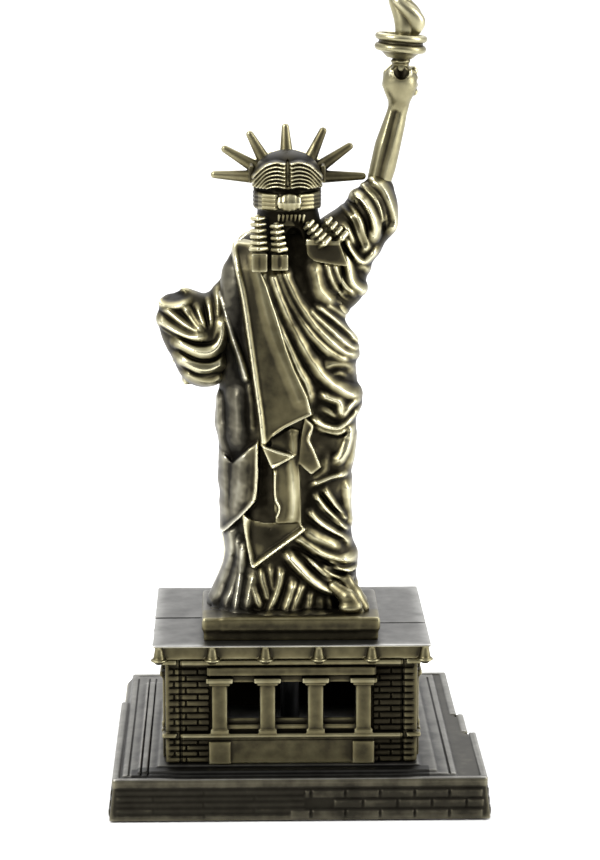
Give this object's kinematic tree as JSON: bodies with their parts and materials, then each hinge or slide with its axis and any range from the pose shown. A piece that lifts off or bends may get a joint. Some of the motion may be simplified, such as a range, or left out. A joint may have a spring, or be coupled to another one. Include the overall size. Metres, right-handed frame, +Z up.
{
  "type": "landmark statuette",
  "caption": "Miniature robed torch bearer with a rayed diadem and a tablet, standing on a windowed pedestal and a stepped brick base",
  "frame": {"origin": "centre of the underside of the base, on the surface it stands on", "axes": "+Z up through the torch, -Y the way the figure faces, -X the side of the raised torch arm"},
  "size_m": [0.0802, 0.0802, 0.171],
  "materials": {
    "antique_brass": "semi-gloss antique brass plating",
    "dark_brass": "satin dark antique brass plating",
    "rubbed_brass": "rubbed antique brass plating",
    "plated_steel": "satin"
  },
  "bodies": {
    "root": {"base_casting": "dark_brass", "bottom_plate": "plated_steel", "bottom_screws": "plated_steel", "tie_bolt": "plated_steel", "tie_washer": "plated_steel", "rear_panel": "antique_brass", "front_panel": "antique_brass", "left_panel": "antique_brass", "right_panel": "antique_brass", "corner_posts": "rubbed_brass", "cornice_cap": "antique_brass", "figure_plinth": "antique_brass", "robe_back": "antique_brass", "robe_front": "antique_brass", "back_drape": "rubbed_brass", "left_sleeve": "antique_brass", "left_hand": "rubbed_brass", "tablet": "antique_brass", "right_sleeve": "antique_brass", "right_arm": "rubbed_brass", "head": "rubbed_brass", "hair": "antique_brass", "ringlets": "antique_brass", "diadem": "rubbed_brass", "rays": "rubbed_brass", "torch": "rubbed_brass", "flame": "rubbed_brass", "heel": "rubbed_brass", "toes": "rubbed_brass"}
  },
  "joints": []
}
